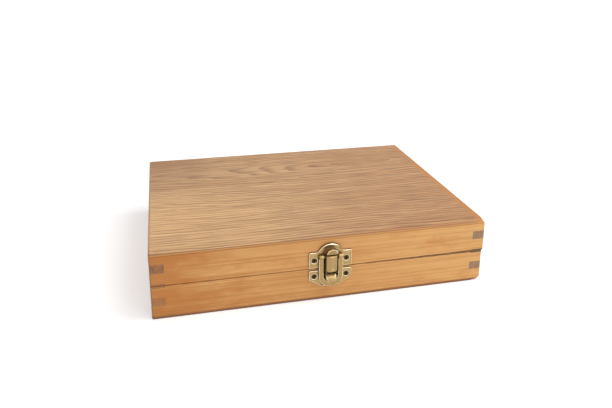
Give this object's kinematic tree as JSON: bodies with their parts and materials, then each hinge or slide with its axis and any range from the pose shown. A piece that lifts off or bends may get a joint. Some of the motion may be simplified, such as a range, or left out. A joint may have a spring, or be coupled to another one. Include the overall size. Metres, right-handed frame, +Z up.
{
  "type": "microscope case",
  "caption": "Flat wooden instrument case: finger-jointed base and hinged lid with thin panels, brass butt hinges and a brass draw catch on the front.",
  "frame": {"origin": "centre of the closed case's footprint, on its underside", "axes": "+X along the front to the right, +Y from the front to the hinges, +Z up through the lid"},
  "size_m": [0.25, 0.203, 0.05],
  "materials": {
    "board_wood": "orange-tan varnished boards, satin",
    "panel_wood": "greyish tan plywood panels with dark grain, satin, worn edges",
    "fitting_wood": "bare pale wood",
    "felt": "green felt",
    "brass": "aged brass, satin",
    "dark_brass": "tarnished brass, dull"
  },
  "bodies": {
    "base": {"base_front_board": "board_wood", "base_back_board": "board_wood", "base_left_board": "board_wood", "base_right_board": "board_wood", "base_bottom_panel": "panel_wood", "base_lining": "felt", "long_divider": "fitting_wood", "left_cross_divider": "fitting_wood", "right_cross_divider": "fitting_wood", "left_tube_cradle": "fitting_wood", "right_tube_cradle": "fitting_wood", "catch_lower_plate": "brass", "catch_lower_screws": "dark_brass", "left_hinge_base_leaf": "brass", "right_hinge_base_leaf": "brass", "left_hinge_pin": "dark_brass", "right_hinge_pin": "dark_brass", "hinge_base_screws": "dark_brass"},
    "lid": {"lid_front_board": "board_wood", "lid_back_board": "board_wood", "lid_left_board": "board_wood", "lid_right_board": "board_wood", "lid_top_panel": "panel_wood", "lid_lining": "felt", "catch_upper_plate": "brass", "catch_upper_screws": "dark_brass", "left_hinge_lid_leaf": "brass", "right_hinge_lid_leaf": "brass", "hinge_lid_screws": "dark_brass"},
    "lever": {"catch_lever": "brass", "catch_lever_pin": "dark_brass", "catch_ring_pin": "dark_brass"},
    "ring": {"catch_ring": "brass"}
  },
  "joints": [
    {"name": "lid_swing", "type": "hinge", "parent": "base", "child": "lid", "pos_m": [0, 0.0975, 0.0254], "axis": [-1, 0, 0], "range_deg": [0, 180]},
    {"name": "catch_lever_swing", "type": "hinge", "parent": "lid", "child": "lever", "pos_m": [0.0023, -0.0986, 0.0245], "axis": [1, 0, 0], "range_deg": [0, 120]},
    {"name": "catch_ring_swing", "type": "hinge", "parent": "lever", "child": "ring", "pos_m": [0.0023, -0.0979, 0.0355], "axis": [1, 0, 0], "range_deg": [-180, 0]}
  ],
  "couplings": [
    {"joint": "catch_ring_swing", "follows": "catch_lever_swing", "ratio": -1.5}
  ]
}
